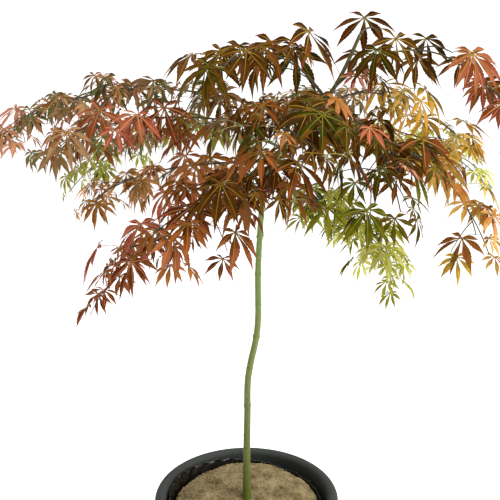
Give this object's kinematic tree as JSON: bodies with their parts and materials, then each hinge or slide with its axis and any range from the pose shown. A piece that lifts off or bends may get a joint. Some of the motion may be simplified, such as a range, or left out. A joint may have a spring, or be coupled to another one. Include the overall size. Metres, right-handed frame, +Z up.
{
  "type": "potted palmate maple",
  "caption": "Young potted maple: a thin green stem in a dark round-rimmed pot carries a low, wide crown of arching sprays with deeply lobed bronze, russet and green leaves.",
  "frame": {"origin": "centre of the pot's flat underside, on the surface it stands on", "axes": "+Z up along the stem, -Y towards the front of the plant, +X to the right as seen from the front"},
  "size_m": [0.6017, 0.4378, 0.6712],
  "materials": {
    "pot": "satin",
    "liner": "gloss",
    "soil": "matte",
    "stem_bark": "satin",
    "bough_bark": "satin",
    "leaf_bronze": "satin",
    "leaf_russet": "satin",
    "leaf_coral": "satin",
    "leaf_amber": "satin",
    "leaf_olive": "satin",
    "leaf_lime": "satin"
  },
  "bodies": {
    "root": {"pot": "pot", "liner": "liner", "root_ball": "soil", "stem": "stem_bark", "bough_front": "bough_bark", "bough_right_mid": "bough_bark", "bough_upper_left": "bough_bark", "bough_front_right": "bough_bark", "bough_left": "bough_bark", "bough_right_low": "bough_bark", "bough_left_back": "bough_bark", "bough_right_back": "bough_bark", "bough_left_low": "bough_bark", "bough_back": "bough_bark", "bough_front_left": "bough_bark", "bough_right_drop": "bough_bark", "spray_high_right": "leaf_bronze", "spray_high_left": "leaf_bronze", "spray_front": "leaf_bronze", "spray_right_mid": "leaf_amber", "spray_upper_left": "leaf_russet", "spray_front_right": "leaf_coral", "spray_left": "leaf_russet", "spray_right_low": "leaf_bronze", "spray_left_back": "leaf_olive", "spray_right_back": "leaf_lime", "spray_left_low": "leaf_russet", "spray_back": "leaf_olive", "spray_front_left": "leaf_russet", "spray_right_drop": "leaf_olive", "spray_top": "leaf_bronze"}
  },
  "joints": []
}
